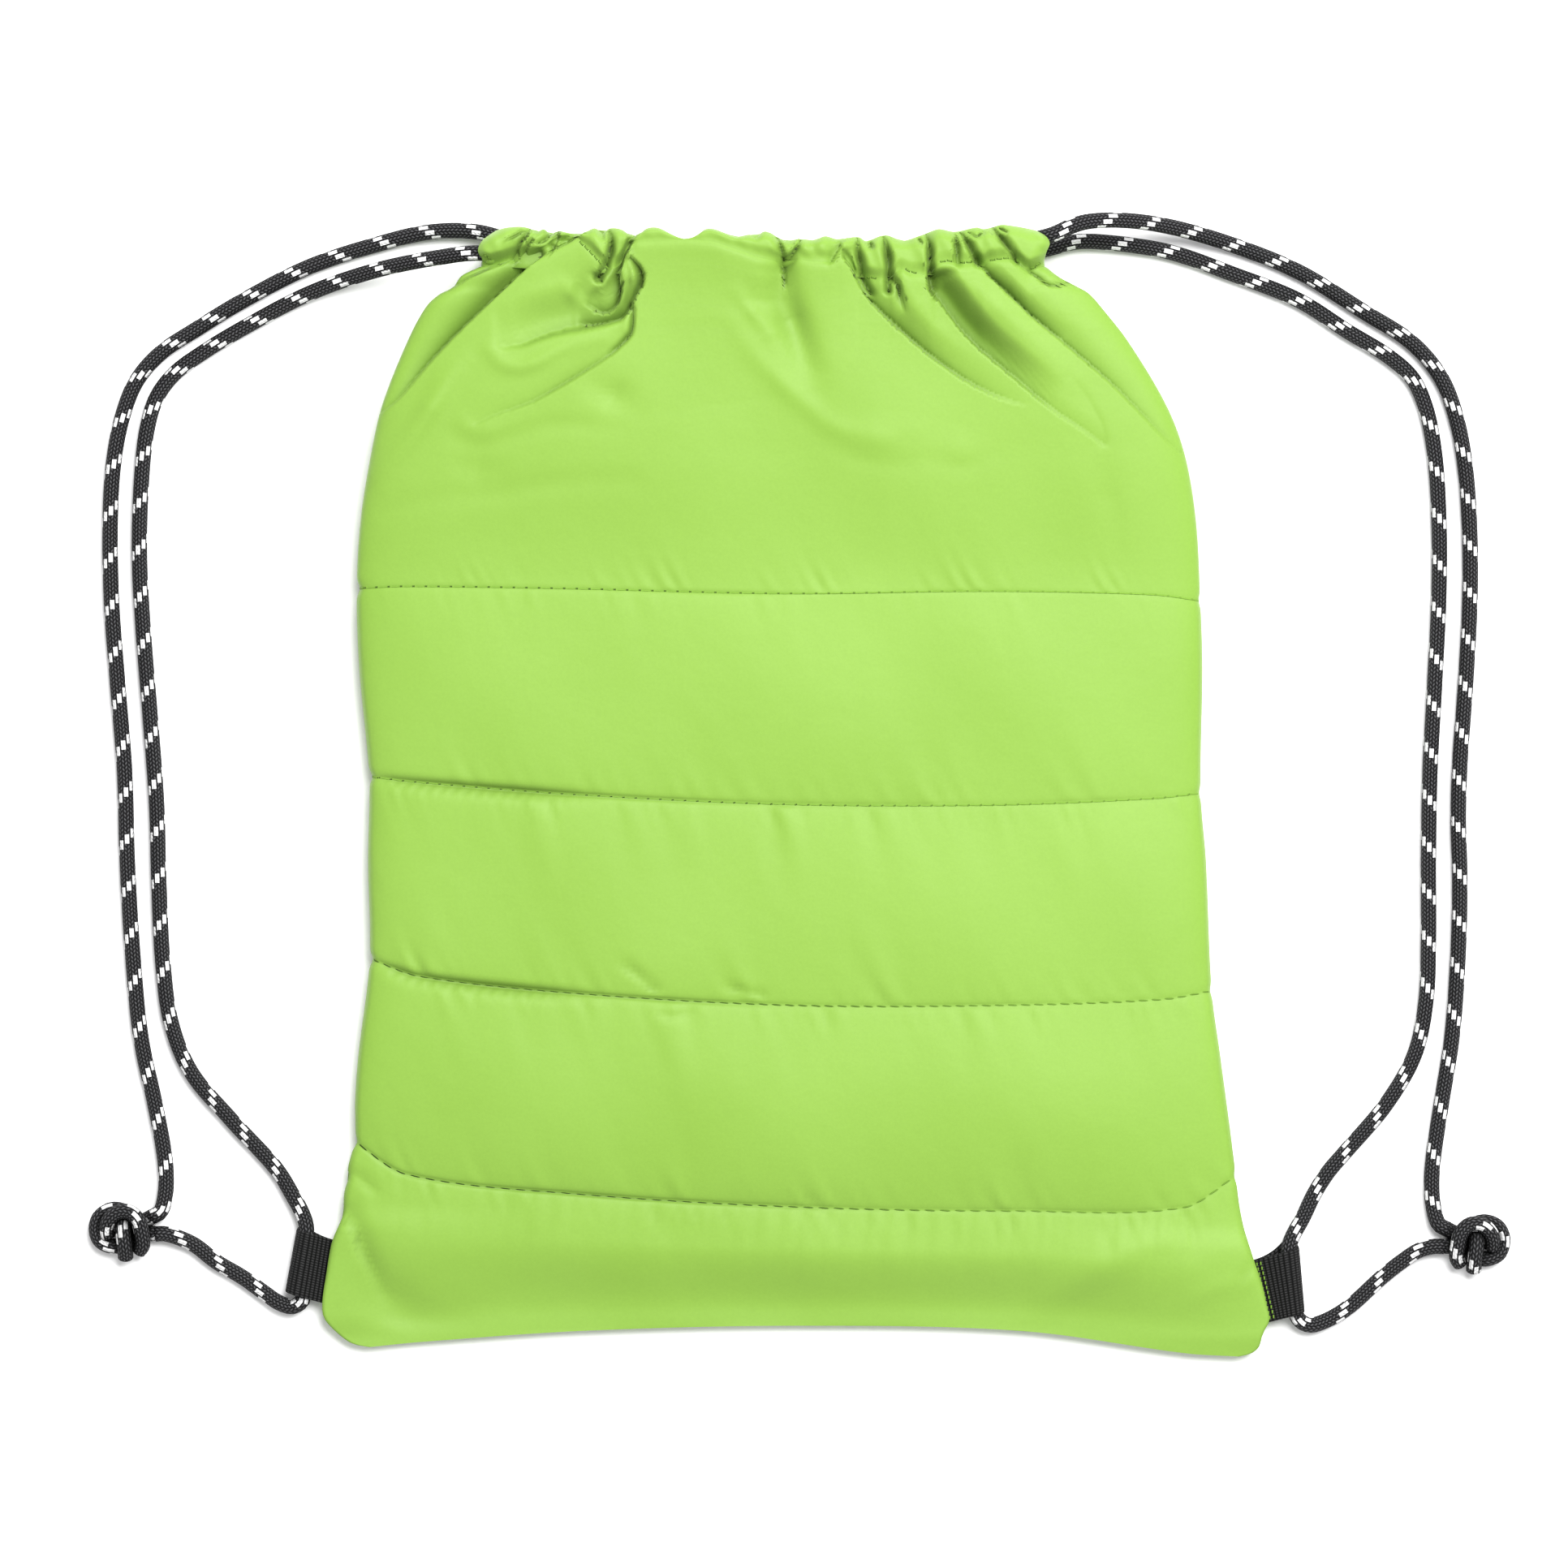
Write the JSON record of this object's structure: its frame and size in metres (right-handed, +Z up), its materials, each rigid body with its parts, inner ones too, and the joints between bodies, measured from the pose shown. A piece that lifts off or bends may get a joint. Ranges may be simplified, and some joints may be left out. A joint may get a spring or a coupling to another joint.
{
  "type": "quilted drawstring bag",
  "caption": "Padded drawstring bag with quilted channels, a gathered mouth, braided cords knotted at the ends and webbing tabs at the bottom corners.",
  "frame": {"origin": "on the surface the bag lies on, under the middle of the bag and its tabs, cords left out", "axes": "+Z up out of the front panel, +Y along the bag from the bottom hem to the mouth, +X to the right seen from the front"},
  "size_m": [0.541, 0.4365, 0.0387],
  "materials": {
    "lime_fabric": "satin woven shell cloth over wadding",
    "black_cord": "matt braid with pale flecks",
    "black_webbing": "matt ribbed webbing"
  },
  "bodies": {
    "root": {"front_panel": "lime_fabric", "back_panel": "lime_fabric", "drawstring_casing": "lime_fabric", "left_cord": "black_cord", "right_cord": "black_cord", "left_knot": "black_cord", "right_knot": "black_cord", "left_tab": "black_webbing", "right_tab": "black_webbing"}
  },
  "joints": []
}
